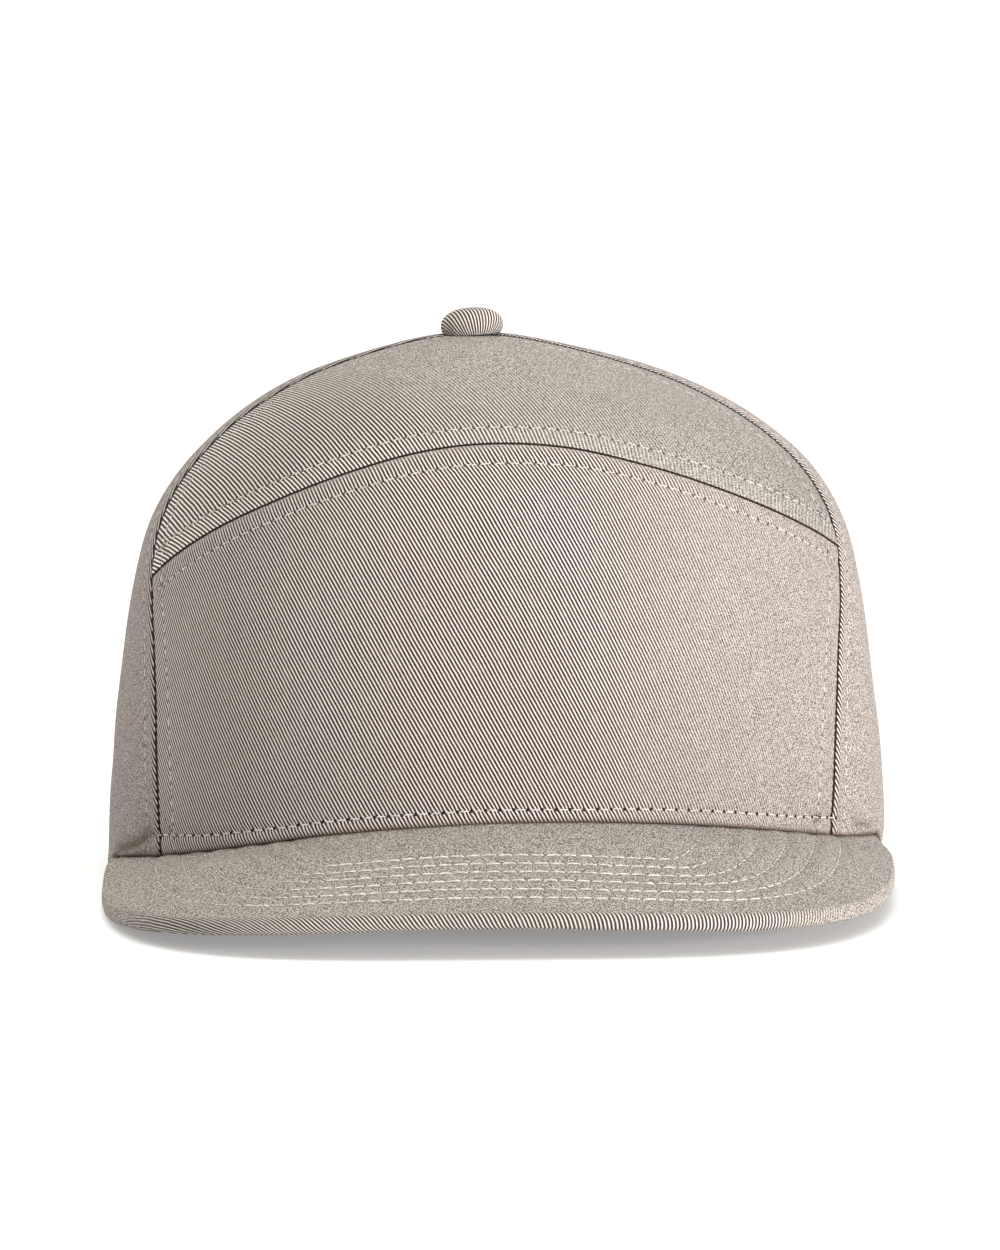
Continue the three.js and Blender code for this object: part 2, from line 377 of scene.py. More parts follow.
# how the cloth turns in at its edges, and the half width of the shadow line painted along it, in millimetres
# from the edge
edges = {
    'seam': {'roll': 0.9, 'depth': 0.8, 'puff': 0.12, 'puffAt': 2.2, 'line': 0.4},
    'frontSeam': {'roll': 0.5, 'depth': 0.35, 'puff': 0.0, 'puffAt': 2.4, 'line': 0.65},
    'sideSeam': {'roll': 0.6, 'depth': 0.5, 'puff': 0.5, 'puffAt': 1.6, 'line': 0.3},
    'lapUnder': {'roll': 0.4, 'depth': 0.12, 'puff': 0.12, 'puffAt': 1.8, 'line': 0.12},
    'lapOver': {'roll': 0.4, 'depth': 0.3, 'puff': 0.45, 'puffAt': 2.3, 'line': 0.2},
    'rim': {'roll': 0.5, 'depth': 0.25, 'puff': 0.15, 'puffAt': 2.0},
    'button': {'roll': 1.0, 'depth': 0.0, 'puff': 0.0, 'puffAt': 2.0},
}
topLine = {'wider': 0.9, 'from': 74.0, 'over': 26.0}  # the shadow lines beside the front widen upwards
puffWidth = 1.3
far = 99.0  # stands for the distance to a row or a seam that isn't near
# a panel's grid has these steps beside its edges, and even ones between
fineSteps = np.array([0, 0.12, 0.3, 0.52, 0.8, 1.15, 1.6, 2.2, 2.9, 3.6, 4.15, 4.55, 4.9, 5.35, 6.0, 6.9])
gridStep = 1.3
edgeStep = 1.2
# folds near the bill's corners, each along a few azimuths and heights, with its rise and half width
folds = [
    {'azimuth': [-58, -62, -64, -68, -78], 'height': [15.3, 13, 11.2, 9.6, 6.3], 'rise': -0.9, 'width': 1.3},
    {'azimuth': [-60, -63, -66, -70, -78], 'height': [12.6, 10.2, 8.6, 7.2, 4], 'rise': 0.35, 'width': 1.3},
    {'azimuth': [62.5, 67, 74], 'height': [15.3, 13.8, 11.6], 'rise': -0.4, 'width': 0.7},
    {'azimuth': [64, 68, 75], 'height': [13.2, 11.6, 9.2], 'rise': 0.22, 'width': 1.4},
    {'azimuth': [78, 88, 102], 'height': [1.5, 0.5, 1.5], 'rise': -1.2, 'width': 6.0},
    {'azimuth': [-84, -92, -104], 'height': [34, 26, 22], 'rise': -0.4, 'width': 7.0},
]
foldShades = [0.75, 0, 0.6, 0, 0, 0]
foldTaper = 0.2  # the share of its length over which a fold starts and ends


def edgeLift(kind, away):
    edge = edges[kind]
    roll = np.clip(1 - away / edge['roll'], 0, 1)
    lift = -edge['depth'] * (1 - np.sqrt(np.clip(1 - roll**2, 0, 1)))
    if kind == 'lapOver':
        return lift + edge['puff'] * np.exp(-away / edge['puffAt'])
    return lift + edge['puff'] * np.exp(-((away - edge['puffAt']) / puffWidth) ** 2)


def lumps(points, height):
    # the slow unevenness of stiffened cloth, in waves of a few centimetres and a few millimetres
    x, y, z = points[..., 0], points[..., 1], points[..., 2]
    slow = np.sin(x / 17 + z / 29 + 1.0) * np.sin(y / 23 - z / 19 + 0.4)
    quick = np.sin(x / 7.1 - z / 9.3 + 2.0) * np.sin(z / 6.7 + x / 13.0 + y / 9)
    return height * (slow + 0.3 * quick)


def foldLift(points):
    # how far the folds raise the cloth, and how much shade is painted in them
    lift, shade = np.zeros(points.shape[:-1]), np.zeros(points.shape[:-1])
    for fold, foldShade in zip(folds, foldShades):
        place = np.linspace(0, len(fold['azimuth']) - 1, 40)
        azimuth, height = (curveThrough(fold[column], place) for column in ('azimuth', 'height'))
        path = crownSurface(azimuth, levelAt(height))
        away, along = distanceTo(path, points)
        length = runAlong(path)[-1]
        taper = ease(along, 0, length * foldTaper)
        taper = taper * (1 - ease(along, length * (1 - foldTaper), length * foldTaper))
        near = taper * np.exp(-((away / fold['width']) ** 2))
        lift += fold['rise'] * near
        shade = np.maximum(shade, foldShade * near)
    return lift, shade


def gridLines(length, spacing):
    middle = length - 2 * fineSteps[-1]
    count = max(int(round(middle / spacing)), 2)
    inner = fineSteps[-1] + middle * np.arange(1, count) / count
    return np.concatenate([fineSteps, inner, length - fineSteps[::-1]]) / length


def toFrame(points):
    return (points + np.array([0, crown['centreY'], 0])) * mm


def gridMesh(columns, lines):
    # a flat grid, and for each of its vertices the column and the line that it lies on
    bm = bmesh.new()
    bmesh.ops.create_grid(bm, x_segments=columns - 1, y_segments=lines - 1, size=0.5)
    places = np.array([vertex.co[:2] for vertex in bm.verts]) + 0.5
    column = np.rint(places[:, 0] * (columns - 1)).astype(int)
    line = np.rint(places[:, 1] * (lines - 1)).astype(int)
    return bm, column, line


def moveVerts(verts, points):
    for vertex, point in zip(verts, points):
        vertex.co = point


clothValues = ('rowAway', 'rowAlong', 'rowHole', 'seamAway', 'seamAlong', 'paintedCreaseShade', 'ribShow', 'tone')


def clothData(bm, values):
    # what the cloth's material reads: its weave's place as a UV map, and a value for each name above
    uvLayer = bm.loops.layers.uv.new('cloth')
    bm.verts.index_update()
    for face in bm.faces:
        for loop in face.loops:
            loop[uvLayer].uv = values['weave'][loop.vert.index]
    for name in clothValues:
        layer = bm.verts.layers.float.new(name)
        for vertex in bm.verts:
            vertex[layer] = values[name][vertex.index]


def smoothMesh(bm, name):
    for face in bm.faces:
        face.smooth = True
    mesh = bpy.data.meshes.new(name)
    bm.to_mesh(mesh)
    bm.free()
    return mesh


def addObject(name, data):
    added = bpy.data.objects.new(name, data)
    bpy.context.collection.objects.link(added)
    return added


def addPiece(name, mesh, material, node=None):
    mesh.materials.append(material)
    piece = addObject(name, mesh)
    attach(piece, 'root')
    if node:
        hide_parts(node)


ribPitch = 0.85


def weavePlace(across, upward, turn):
    # the number of ribs crossed, in thousands, and metres along them
    turn = math.radians(turn)
    crossed = across * math.sin(turn) + upward * math.cos(turn)
    return np.stack([crossed / ribPitch, upward * math.sin(turn) - across * math.cos(turn)], -1) * mm


def nearestRow(names, points, normals, inside, turns):
    # rowAway is below 0 on a row's far side from the vertex called inside, and with turns every
    # second row has its sides the other way round
    found = {'rowAway': np.full(points.shape[:-1], far), 'rowAlong': 0.0, 'rowHole': 0.0}
    pull = np.zeros(points.shape[:-1])
    for index, name in enumerate(names):
        row = rows[name]
        path = row['path']
        away, along = distanceTo(path, points)
        run = runAlong(path)
        forward = placeOn(path, run, along + halfStep) - placeOn(path, run, along - halfStep)
        side = (np.cross(normals, forward) * (points - placeOn(path, run, along))).sum(-1)
        side = np.where(side * side[inside] < 0, -1.0, 1.0) * (-1.0) ** (index * turns)
        nearer = away < np.abs(found['rowAway'])
        found['rowAlong'] = np.where(nearer, along / row['pitch'], found['rowAlong'])
        found['rowHole'] = np.where(nearer, row['hole'], found['rowHole'])
        found['rowAway'] = np.where(nearer, away * side, found['rowAway'])
        pull = np.maximum(pull, row['pull'] * np.exp(-((away / pullWidth) ** 2)))
    return found, pull


surfaces = {}
shadeAt = 80.0  # slopes of shade and shear are given for this far from the middle
weaveReach = 150.0
weaveLimits = (0.62, 1.3)


def ribShowOn(base, look):
    # the ribs' painted light and shade is strongest where the light grazes them, and fades towards the lit
    # side and the top
    x, height = base[..., 0], base[..., 2]
    side = 1 - (1 - look['farSide']) * ease(x, look['from'], look['over'])
    top = 1 - (1 - look['atTop']) * ease(height, look['topFrom'], look['topOver'])
    return look['show'] * side * top


def weaveOn(base, u, aboveBottom, ribs):
    # millimetres across and up the weave
    if ribs['flat']:
        # the upper panel lies straight across, and is counted up from its arched edge
        x = base[..., 0]
        return x * (1 + ribs['widen'] * (x / shadeAt) ** 2), aboveBottom
    # elsewhere it runs with the panel's own middle line, and is stretched a little more to one side
    start = np.zeros((base.shape[0], 1))
    sideways = np.linalg.norm(np.diff(base[..., :2], axis=1), axis=-1)
    across = np.concatenate([start, np.cumsum(sideways, axis=1)], 1)
    middle = np.array([np.interp(0.5, u[0], line) for line in across])
    across = across - middle[:, None]
    stretched = np.linspace(-weaveReach, weaveReach, 601)
    widening = ribs['wide'] + ribs['widen'] * stretched + ribs['bend'] * stretched**2
    counted = np.cumsum((stretched[1] - stretched[0]) / np.clip(widening, *weaveLimits))
    across = np.interp(across, stretched, counted - np.interp(0, stretched, counted))
    outward = np.linalg.norm(base[..., :2], axis=-1)
    climb = np.hypot(np.diff(outward, axis=0), np.diff(base[..., 2], axis=0))
    upward = np.concatenate([0 * base[:1, :, 2], np.cumsum(climb, axis=0)], 0)
    return across, upward + base[0, :, 2]


# the hem turned up inside the rim with shade painted along it, and the cloth beside a lapped seam
rimHem = {'fold': 0.45, 'foldTo': 13.0, 'foldOver': 1.5, 'shade': 0.8, 'shadeOver': 1.3}
lap = {'inset': 1.6, 'over': 1.5, 'paintedRibFade': 1.3}
panelLumps = 0.22
narrowest = 3.0  # the crown's half width that sets the gaps at its top


def panelFaces(fromSeam, toSeam, levelOf, wall, u, v):
    # the outer and the inner face of a panel, and the way out of the cloth
    faces = []
    for depth in (0.0, wall):
        azimuth = fromSeam(0.0) + (toSeam(0.0) - fromSeam(0.0)) * u + 0 * v
        for _ in range(rimTries):
            level = levelOf(u + 0 * v, v + 0 * u, azimuth, depth)
            halfWidth = curveThrough(crownLevels['halfWidth'], level)
            turn = np.degrees(crown['halfGap'] / np.maximum(halfWidth, narrowest))
            start, end = fromSeam(level) + turn, toSeam(level) - turn
            azimuth = start + (end - start) * u
        faces.append(crownPoint(azimuth, level, depth))
        if depth == 0:
            normal = crownNormal(azimuth, level)
    return faces[0], faces[1], normal


def sewEdges(base, kinds, lift):
    # rolls the cloth in at each edge, and tells how far away the edges and their painted shadow lines are
    borders = {'right': base[:, 0], 'left': base[:, -1], 'bottom': base[0], 'top': base[-1]}
    seamAway, seamAlong = np.full(base.shape[:-1], far), np.zeros(base.shape[:-1])
    wider = topLine['wider'] * ease(base[..., 2], topLine['from'], topLine['over'])
    edgeAway = {}
    for border, path in borders.items():
        away, along = distanceTo(pathEvery(path, edgeStep), base)
        edgeAway[border] = away
        edge = edges[kinds[border]]
        lift += edgeLift(kinds[border], away)
        if 'line' in edge:
            # counted in half widths of the painted shadow line
            lines = away / (edge['line'] + (wider if kinds[border] == 'frontSeam' else 0))
            seamAlong = np.where(lines < seamAway, along, seamAlong)
            seamAway = np.minimum(seamAway, lines)
    return edgeAway, seamAway, seamAlong


def panelWall(face, inner):
    # one closed wall, its outer face first, with the column and line of each vertex of a face
    bm, column, line = gridMesh(face.shape[1], face.shape[0])
    count = len(bm.verts)
    turned = bmesh.ops.duplicate(bm, geom=bm.verts[:] + bm.edges[:] + bm.faces[:])
    backFaces = [item for item in turned['geom'] if isinstance(item, bmesh.types.BMFace)]
    bmesh.ops.reverse_faces(bm, faces=backFaces)
    bm.verts.ensure_lookup_table()
    moveVerts(bm.verts[:count], toFrame(face[line, column]))
    moveVerts(bm.verts[count:], toFrame(inner[line, column]))
    rims = [edge for edge in bm.edges if edge.is_boundary]
    bmesh.ops.bridge_loops(bm, edges=rims)
    return bm, column, line


def crownPanel(name, node, seams, levelOf, wall, kinds, size, ribs):
    # kinds says how each edge is sewn: right, left, bottom, top
    u = gridLines(size[0], gridStep)[None, :]
    v = gridLines(size[1], gridStep)[:, None]
    base, inner, normal = panelFaces(*seams, levelOf, wall, u, v)
    foldRise, foldShade = foldLift(base)
    lift = lumps(base, panelLumps) + foldRise
    edgeAway, seamAway, seamAlong = sewEdges(base, kinds, lift)
    rowNames = [row for row, pieces in rowPieces.items() if name in pieces]
    found, pull = nearestRow(rowNames, base, normal, (v.size // 2, u.size // 2), 0)
    across, upward = weaveOn(base, u, edgeAway['bottom'], ribs)
    offMiddle = base[..., 0] / shadeAt
    fromLap = edgeAway[ribs['lapEdge']]
    shear = ribs['lapShear'] + ribs['lapTilt'] * base[..., 0] / shadeAt
    across = across + shear * np.clip(ribs['lapWidth'] - fromLap, 0, None)
    hemmed = kinds['bottom'] == 'rim'
    low = edgeAway['bottom']
    hemFold = rimHem['fold'] * (1 - ease(low, rimHem['foldTo'], rimHem['foldOver'])) * hemmed
    hemShade = rimHem['shade'] * (1 - ease(low, 0, rimHem['shadeOver'])) * hemmed
    atSeam = 1 - ease(np.minimum(edgeAway['left'], edgeAway['right']), ribs['seamShow'], lap['over'])
    # the ribs' painted light and shade fades in a band beside the lapped edge, and on the upper panel the
    # strip along the lap is painted lighter
    paintedRibFade = ribs['lapFade'] * np.exp(-((fromLap / lap['paintedRibFade']) ** 2))
    lapStrip = 1 - ease(fromLap, ribs['lapWidth'] - lap['inset'], lap['over'])
    # light and shade painted over the panel: a slope from one side to the other and a fall towards both
    # sides
    tone = ribs['tone'] + ribs['toneSlope'] * base[..., 0] / shadeAt + ribs['toneBend'] * offMiddle**2
    shown = ribShowOn(base, ribs['look']) * (1 - paintedRibFade)
    onFace = {
        **found,
        'seamAway': seamAway,
        'seamAlong': seamAlong,
        'paintedCreaseShade': np.maximum(hemShade, foldShade),
        'ribShow': np.maximum.reduce([shown, atSeam, ribs['lapShow'] * lapStrip]),
        'tone': tone + ribs['lapPaintedLight'] * lapStrip,
    }
    face = base + normal * (lift - pull)[..., None]
    bm, column, line = panelWall(face, inner - normal * hemFold[..., None])
    values = {key: np.tile(value[line, column], 2) for key, value in onFace.items()}
    values['rowAway'][len(line):] = far  # no stitches show inside
    values['weave'] = np.tile(weavePlace(across, upward, ribs['turn'])[line, column], (2, 1))
    clothData(bm, values)
    surfaces[name] = BVHTree.FromBMesh(bm)
    addPiece(name, smoothMesh(bm, name), ribs['cloth'], node)
    print('sewn', name)


class Signal:
    # a socket that can be used in sums

    def __init__(self, bench, socket):
        self.bench = bench
        self.socket = socket

    def joined(self, operation, *others):
        values = dict(enumerate((self,) + others))
        return self.bench.signal('ShaderNodeMath', {'operation': operation}, values)

    def __add__(self, other):
        return self.joined('ADD', other)

    def __sub__(self, other):
        return self.joined('SUBTRACT', other)

    def __mul__(self, other):
        return self.joined('MULTIPLY', other)

    def __truediv__(self, other):
        return self.joined('DIVIDE', other)

    def __rsub__(self, other):
        return (self * -1.0).joined('ADD', other)

    def __pow__(self, other):
        return self.joined('POWER', other)

    __radd__ = __add__
    __rmul__ = __mul__

    def wave(self):
        # from 0 to 1 and back over each whole number
        return (self * (2 * math.pi)).joined('COSINE') * 0.5 + 0.5

    def fraction(self):
        return self.joined('FRACT')

    def size(self):
        return self.joined('ABSOLUTE')

    def least(self, other):
        return self.joined('MINIMUM', other)

    def between(self, low, high, start=0.0, end=1.0):
        # an even step from start to end while this goes from low to high
        settings = {'interpolation_type': 'SMOOTHSTEP'}
        values = {'Value': self, 'From Min': low, 'From Max': high, 'To Min': start, 'To Max': end}
        return self.bench.signal('ShaderNodeMapRange', settings, values)


class Bench:
    # one material being mixed

    def __init__(self, name):
        self.material = bpy.data.materials.new(name)
        self.material.use_nodes = True
        self.tree = self.material.node_tree
        self.tree.nodes.clear()

    def node(self, kind, settings=None, values=None):
        node = self.tree.nodes.new(kind)
        for key, value in (settings or {}).items():
            setattr(node, key, value)
        for key, value in (values or {}).items():
            if isinstance(value, Signal):
                self.tree.links.new(value.socket, node.inputs[key])
            else:
                node.inputs[key].default_value = value
        return node

    def signal(self, kind, settings=None, values=None, output=0):
        return Signal(self, self.node(kind, settings, values).outputs[output])

    def blend(self, share, first, second, mode='MIX'):
        settings = {'data_type': 'RGBA', 'blend_type': mode}
        return self.signal('ShaderNodeMix', settings, {0: share, 6: first, 7: second}, 2)

    def noise(self, place, scale, detail=2.0, roughness=0.5):
        values = {'Vector': place, 'Scale': scale, 'Detail': detail, 'Roughness': roughness}
        return self.signal('ShaderNodeTexNoise', {}, values)

    def finish(self, values):
        shader = self.signal('ShaderNodeBsdfPrincipled', {}, values)
        self.node('ShaderNodeOutputMaterial', {}, {'Surface': shader})
        return self.material


def paint(red, green, blue):
    # a colour as it looks on screen, from 0 to 255
    values = [value / 255 for value in (red, green, blue)]
    return [value / 12.92 if value < 0.04 else ((value + 0.055) / 1.055) ** 2.4 for value in values] + [1.0]


twillLook = {
    'relief': 0.16,
    'waver': 0.12,
    'slowScale': 55.0,
    'quickScale': 380.0,
    'patchScale': 26.0,
    'plainLight': paint(189, 181, 172),
    'plainDark': paint(80, 74, 67),
    # the ribs are painted lit and the grooves between them are painted in shade
    'ribLit': paint(219, 210, 201),
    'grooveShade': paint(26, 15, 9),
    'fade': paint(202, 194, 186),
    'grime': paint(94, 86, 78),
    'shadow': paint(29, 20, 14),
    'hemShade': paint(74, 57, 43),
    'grain': 3300.0,
    'grainDepth': 1.0,
    'tint': (1.0, 1.0, 1.0, 1.0),
    'tintOffRibs': 0.6,
    'holeSize': 0.4,
    'holeDepth': 1.5,
    'ribEnds': 1.78,
    'yarnPitch': 0.55,
    'yarnShare': 0.14,
    'pinch': 0.3,
    'streaks': 0.2,
    'ribGrime': 0.3,
    'specks': 0.14,
    'patches': 0.08,
    'roughness': 0.9,
    'sheen': 0.05,
    'sheenRoughness': 0.6,
}


def twill(name, look):
    bench = Bench(name)
    weave = bench.signal('ShaderNodeUVMap', {'uv_map': 'cloth'})
    place = bench.signal('ShaderNodeTexCoord', output=3)
    split = bench.node('ShaderNodeSeparateXYZ', {}, {0: weave})
    across = Signal(bench, split.outputs[0]) * 1000
    along = Signal(bench, split.outputs[1]) * 1000
    rowAway, rowAlong, rowHole, seamAway, seamAlong, paintedCreaseShade, ribShow, shade = (
        bench.signal('ShaderNodeAttribute', {'attribute_name': attribute}, output=2)
        for attribute in clothValues
    )
    # the ribs waver a little, and bend where a row of stitches pulls them
    slow = bench.noise(place, look['slowScale'], 1.0) - 0.5
    quick = bench.noise(place, look['quickScale'], 2.0) - 0.5
    nearRow = rowAway.size().between(0.0, 1.6, 1.0, 0.0)
    pinch = (rowAlong.wave() - 0.5) * nearRow
    ribPlace = across + slow * (look['waver'] * 5) + quick * (look['waver'] * 1.6) + pinch * look['pinch']
    body = ribPlace.wave().between(0.3, 0.8)
    yarn = ((along / look['yarnPitch']) + ribPlace * 0.5 + quick * 0.8).wave()
    tone = body * (1 - look['yarnShare']) + yarn * body * look['yarnShare']
    # yarns differ from one rib to the next and along a rib
    streakPlace = bench.signal('ShaderNodeCombineXYZ', {}, {0: ribPlace * 1.1, 1: along * 0.16, 2: 0.0})
    streak = bench.noise(streakPlace, 1.0, 3.0, 0.7)
    squash = {0: place, 1: (1.0, look['grainDepth'], 1.0)}
    grainPlace = bench.signal('ShaderNodeVectorMath', {'operation': 'MULTIPLY'}, squash)
    grain = bench.noise(grainPlace, look['grain'], 1.0, 0.6)
    speck = bench.noise(grainPlace, look['grain'] * 0.6, 1.0, 0.5)
    holeAway = ((rowAlong + 0.5).fraction() - 0.5) * stitchKinds['rim']['pitch']
    holeSize = (holeAway * holeAway + rowAway * rowAway) ** 0.5
    hole = holeSize.between(look['holeSize'] * 0.7, look['holeSize'] * 1.3, 1.0, 0.0) * rowHole.least(1.0)
    # the shadow in a seam is bitten into by the ends of the ribs
    bites = (seamAlong / look['ribEnds']).wave() * 0.4
    seam = (seamAway + bites).between(0.65, 1.35, 1.0, 0.0)

    plain = bench.blend(grain.between(0.42, 0.58), look['plainDark'], look['plainLight'])
    ribbed = bench.blend(tone, look['grooveShade'], look['ribLit'])
    ribbed = bench.blend(streak.between(0.5, 0.8, 0.0, look['streaks']), ribbed, look['fade'])
    ribbed = bench.blend(grain.between(0.3, 0.5, look['ribGrime'], 0.0), ribbed, look['grime'])
    colour = bench.blend(ribShow, plain, ribbed)
    colour = bench.blend(speck.between(0.3, 0.5, look['specks'], 0.0), colour, look['grime'])
    patch = bench.noise(place, look['patchScale'], 3.0).between(0.4, 0.8, 0.0, look['patches'])
    colour = bench.blend(patch, colour, look['grime'])
    # the tint's painted light colour is weaker where the ribs show
    colour = bench.blend(1.0 - ribShow * look['tintOffRibs'], colour, look['tint'], 'MULTIPLY')
    # the colour is scaled by the painted light and shade
    colour = bench.signal('ShaderNodeVectorMath', {'operation': 'SCALE'}, {0: colour, 3: shade})
    colour = bench.blend(paintedCreaseShade, colour, look['hemShade'])
    colour = bench.blend(seam, colour, look['shadow'])
    # the needle holes are painted with the same shadow colour
    colour = bench.blend(hole, colour, look['shadow'])

    puckers = nearRow * (1.0 - rowAlong.wave()) * rowHole * 0.5 - hole * look['holeDepth']
    height = body * ribShow + yarn * 0.12 + grain * 0.3 + puckers
    bump = bench.signal('ShaderNodeBump', {}, {
        'Strength': 1.0,
        'Distance': look['relief'] * mm,
        'Height': height,
    })
    return bench.finish({
        'Base Color': colour,
        'Roughness': grain * 0.12 + (look['roughness'] - 0.06),
        'Sheen Weight': look['sheen'],
        'Sheen Roughness': look['sheenRoughness'],
        'Specular IOR Level': 0.25,
        'Normal': bump,
    })


threadLook = {
    'light': paint(214, 209, 203),
    'dark': paint(176, 168, 158),
    'relief': 0.1,
    'wearScale': 900.0,
}


def threadMaterial(name, look):
    bench = Bench(name)
    place = bench.signal('ShaderNodeTexCoord', output=3)
    wear = bench.noise(place, look['wearScale'], 2.0)
    colour = bench.blend(wear.between(0.35, 0.65), look['dark'], look['light'])
    bump = bench.signal('ShaderNodeBump', {}, {
        'Strength': 0.5,
        'Distance': look['relief'] * mm,
        'Height': wear,
    })
    return bench.finish({
        'Base Color': colour,
        'Roughness': wear * 0.1 + 0.6,
        'Sheen Weight': 0.2,
        'Specular IOR Level': 0.4,
        'Normal': bump,
    })


# painted light colour: the upright pieces are tinted rosier, for the warm light on the front, and the upper
# panel greener, for the cool light from above
rosyLitTint = (1.0, 0.955, 0.965, 1.0)
crownTwill = twill('crownTwill', {**twillLook, 'tint': rosyLitTint})
upperTwill = twill('upperTwill', {
    **twillLook, 'tint': (0.985, 1.0, 0.995, 1.0), 'tintOffRibs': 0.0, 'grainDepth': 0.55,
})
sideTwill = twill('sideTwill', {**twillLook, 'tint': rosyLitTint, 'grainDepth': 0.4})
billTwill = twill('billTwill', {**twillLook, 'grainDepth': 0.4})
crownThread = threadMaterial('crownThread', threadLook)
print('materials mixed')


# where the ribs' painted light and shade stands out: up to a place across the panel, and up to a height
allHeights = {'atTop': 1.0, 'topFrom': 200.0, 'topOver': 1.0}
frontShow = {'show': 1.0, 'farSide': 0.12, 'from': 14.0, 'over': 70.0, **allHeights}
edgeShow = {'show': 0.95, 'farSide': 0.15, 'from': 60.0, 'over': 26.0, **allHeights}
upperShow = {
    'show': 1.0, 'farSide': 0.12, 'from': -28.0, 'over': 95.0,
    'atTop': 0.1, 'topFrom': 114.0, 'topOver': 12.0,
}
plainShow = {
    'show': 0.3, 'farSide': 0.4, 'from': -20.0, 'over': 40.0,
    'atTop': 0.6, 'topFrom': 100.0, 'topOver': 25.0,
}
# the ribs' direction, how the weave widens across, how it is drawn aside in the lap, and the light and shade
# painted on it
plainRibs = {
    'flat': False, 'wide': 1.0, 'widen': 0.0, 'bend': 0.0, 'seamShow': -2.0,
    'lapEdge': 'bottom', 'lapShear': 0.0, 'lapTilt': 0.0, 'lapWidth': 0.0,
    'lapFade': 0.0, 'lapShow': 0.0, 'lapPaintedLight': 0.0, 'toneSlope': 0.0, 'toneBend': 0.0,
}
ribs = {
    'front': {
        **plainRibs, 'turn': 60.3, 'wide': 0.98, 'widen': -0.0024, 'bend': -0.000024,
        'lapEdge': 'top', 'lapShear': -0.13, 'lapTilt': 0.22, 'lapWidth': 4.9, 'lapFade': 0.6,
        'look': frontShow, 'tone': 1.0, 'toneBend': -0.05, 'cloth': crownTwill,
    },
    'upper': {
        **plainRibs, 'flat': True, 'turn': 64.6, 'widen': 0.05,
        'lapShear': 0.15, 'lapTilt': 0.47, 'lapWidth': 6.1, 'lapShow': 0.25, 'lapPaintedLight': 0.11,
        'look': upperShow, 'tone': 0.96, 'toneSlope': -0.19, 'cloth': upperTwill,
    },
    'gore': {
        **plainRibs, 'turn': 60.0, 'seamShow': 0.9,
        'look': plainShow, 'tone': 0.9, 'toneSlope': 0.085, 'cloth': sideTwill,
    },
}
halfGapLevel = 0.004


def frontLevels(u, v, azimuth, depth):
    low = rimLevel(azimuth, depth)
    return low + (archLevel(2 * u - 1) - halfGapLevel - low) * v


def upperLevels(u, v, azimuth, depth):
    low = archLevel(2 * u - 1) + halfGapLevel
    return low + (crown['topLevel'] - low) * v


def goreLevels(u, v, azimuth, depth):
    low = rimLevel(azimuth, depth)
    return low + (crown['topLevel'] - low) * v


def buildCrown():
    left, right = seamLine(frontSeam, 1), seamLine(frontSeam, -1)
    backLeft, backRight = seamLine(backSeam, 1), seamLine(backSeam, -1)
    sewn = {'right': 'frontSeam', 'left': 'frontSeam'}
    crownPanel(
        'frontPanel', 'front_panel', (right, left), frontLevels, crown['frontWall'],
        {**sewn, 'bottom': 'rim', 'top': 'lapUnder'}, (205, 98), ribs['front'],
    )
    crownPanel(
        'upperFrontPanel', 'upper_front_panel', (right, left), upperLevels, crown['frontWall'],
        {**sewn, 'bottom': 'lapOver', 'top': 'button'}, (190, 85), ribs['upper'],
    )
    gores = [
        ('sidePanelLeft', 'side_panel_left', (left, backLeft), ('sideSeam', 'seam')),
        ('sidePanelRight', 'side_panel_right', (backRight, right), ('seam', 'sideSeam')),
        ('backPanelLeft', 'back_panel_left', (backLeft, straightSeam(180.0)), ('seam', 'seam')),
        ('backPanelRight', 'back_panel_right', (straightSeam(-180.0), backRight), ('seam', 'seam')),
    ]
    for name, node, seams, (atStart, atEnd) in gores:
        kinds = {'right': atStart, 'left': atEnd, 'bottom': 'rim', 'top': 'button'}
        crownPanel(name, node, seams, goreLevels, crown['sideWall'], kinds, (110, 150), ribs['gore'])


buildCrown()


# the bill: rows of stitches run round it, at these distances from its edge
billRows = {'first': 12.8, 'apart': 6.3, 'count': 6}
quilt = {'height': 0.1, 'from': 9, 'to': 44, 'over': 4}  # between the rows the cover swells
billRowNames = ['bill%d' % index for index in range(billRows['count'])]
billLumps = 0.12
edgeBend = 1.7  # how far in the edge starts to bend down
billWeave = {
    'ribs': 65.0,
    'wide': 0.93,
    'widen': 0.0004,
    'show': 0.05,
    # painted shade: the bill is darker than the front and darker towards +X, its edge lighter towards +X and
    # darker towards -X
    'tone': 0.9,
    'toneSlope': -0.05,
    'edgePaintedLightSlope': 0.17,
    'edgeFrom': 0.6,
    'edgePaintedLightOver': 1.2,
    'endsFrom': -93.0,
    'endsOver': 20.0,
    # the ribs lean over by this much going down the edge, from one side to the other
    'turnAt': [-75, -58, -42, -20, 20, 45, 60, 75],
    'turn': [-0.6, -0.78, -0.26, -0.02, -0.02, 0.1, 0.2, 0.42],
}
# the back corner at -X curls up against the crown
billCurl = {'rise': 2.4, 'outFrom': 1.0, 'outOver': 5.0, 'y': -38.0, 'width': 14.0}
# the shadow line painted where the crown meets the bill is darkest towards the corners, and shade is painted
# beside it and under the crown
billCrease = {
    'width': 0.4, 'middleWidth': 0.2, 'from': 45.0, 'over': 25.0,
    'inside': 0.3, 'shade': 0.6, 'shadeOver': 1.6, 'hiddenShade': 0.8,
}


